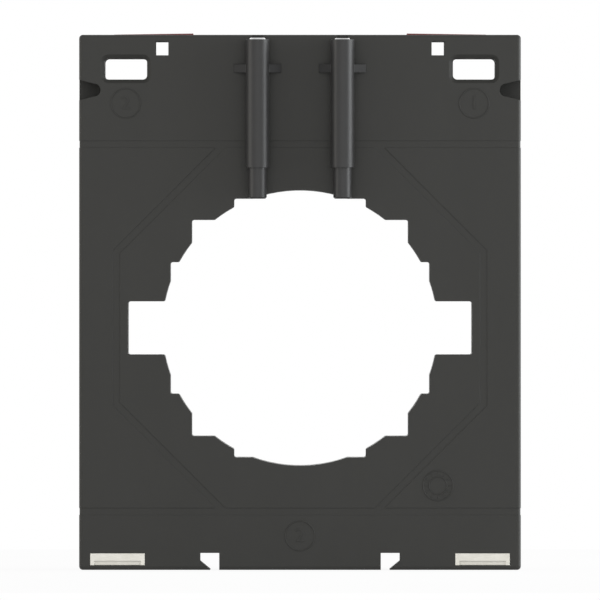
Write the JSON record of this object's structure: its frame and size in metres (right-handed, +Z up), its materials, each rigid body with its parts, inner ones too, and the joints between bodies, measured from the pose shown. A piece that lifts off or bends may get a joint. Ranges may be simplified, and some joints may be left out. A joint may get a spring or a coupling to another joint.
{
  "type": "window-type current transformer",
  "caption": "Upright moulded box with a stepped window for bars or a round conductor, clamping rods on one face, red hinged terminal lids on top and slotted steel feet.",
  "frame": {"origin": "middle of the underside, at the parting plane of the two shells", "axes": "+Z up, +X across the window towards the S1 terminal, -Y out of the rear face that carries the clamping rods"},
  "size_m": [0.105, 0.0577, 0.1276],
  "materials": {
    "housing_plastic": "fine spark-eroded texture",
    "sleeve_plastic": "satin",
    "lid_plastic": "satin",
    "cup_plastic": "smooth",
    "winding_tape": "film",
    "lead_sheath": "smooth",
    "winding_wire": "enamelled",
    "core_steel": "rolled strip",
    "terminal_brass": "nickel plated",
    "screw_steel": "zinc plated",
    "foot_steel": "zinc plated"
  },
  "bodies": {
    "housing": {"rear_shell": "housing_plastic", "front_shell": "housing_plastic", "core_ring": "core_steel", "core_cup_rear": "cup_plastic", "core_cup_front": "cup_plastic", "secondary_winding": "winding_wire", "winding_tape": "winding_tape", "s1_lead": "lead_sheath", "s2_lead": "lead_sheath", "s1_terminal_block": "terminal_brass", "s2_terminal_block": "terminal_brass", "clamp_sleeve_left": "sleeve_plastic", "clamp_sleeve_right": "sleeve_plastic", "mounting_foot_left": "foot_steel", "mounting_foot_right": "foot_steel"},
    "s1_lid": {"s1_terminal_lid": "lid_plastic"},
    "s2_lid": {"s2_terminal_lid": "lid_plastic"},
    "s1_screw": {"s1_terminal_screw": "screw_steel"},
    "s2_screw": {"s2_terminal_screw": "screw_steel"},
    "left_clamp": {"clamp_screw_left": "screw_steel", "clamp_cap_left": "sleeve_plastic"},
    "right_clamp": {"clamp_screw_right": "screw_steel", "clamp_cap_right": "sleeve_plastic"}
  },
  "joints": [
    {"name": "s1_lid_hinge", "type": "hinge", "parent": "housing", "child": "s1_lid", "pos_m": [0.0442, 0, 0.1262], "axis": [0, 1, 0], "range_deg": [0, 110]},
    {"name": "s2_lid_hinge", "type": "hinge", "parent": "housing", "child": "s2_lid", "pos_m": [-0.0442, 0, 0.1262], "axis": [0, -1, 0], "range_deg": [0, 110]},
    {"name": "s1_screw_feed", "type": "slide", "parent": "housing", "child": "s1_screw", "axis": [0, 0, -1], "range_m": [0, 0.0026]},
    {"name": "s2_screw_feed", "type": "slide", "parent": "housing", "child": "s2_screw", "axis": [0, 0, -1], "range_m": [0, 0.0026]},
    {"name": "left_clamp_feed", "type": "slide", "parent": "housing", "child": "left_clamp", "axis": [0, 0, -1], "range_m": [0, 0.0245]},
    {"name": "right_clamp_feed", "type": "slide", "parent": "housing", "child": "right_clamp", "axis": [0, 0, -1], "range_m": [0, 0.0245]}
  ]
}
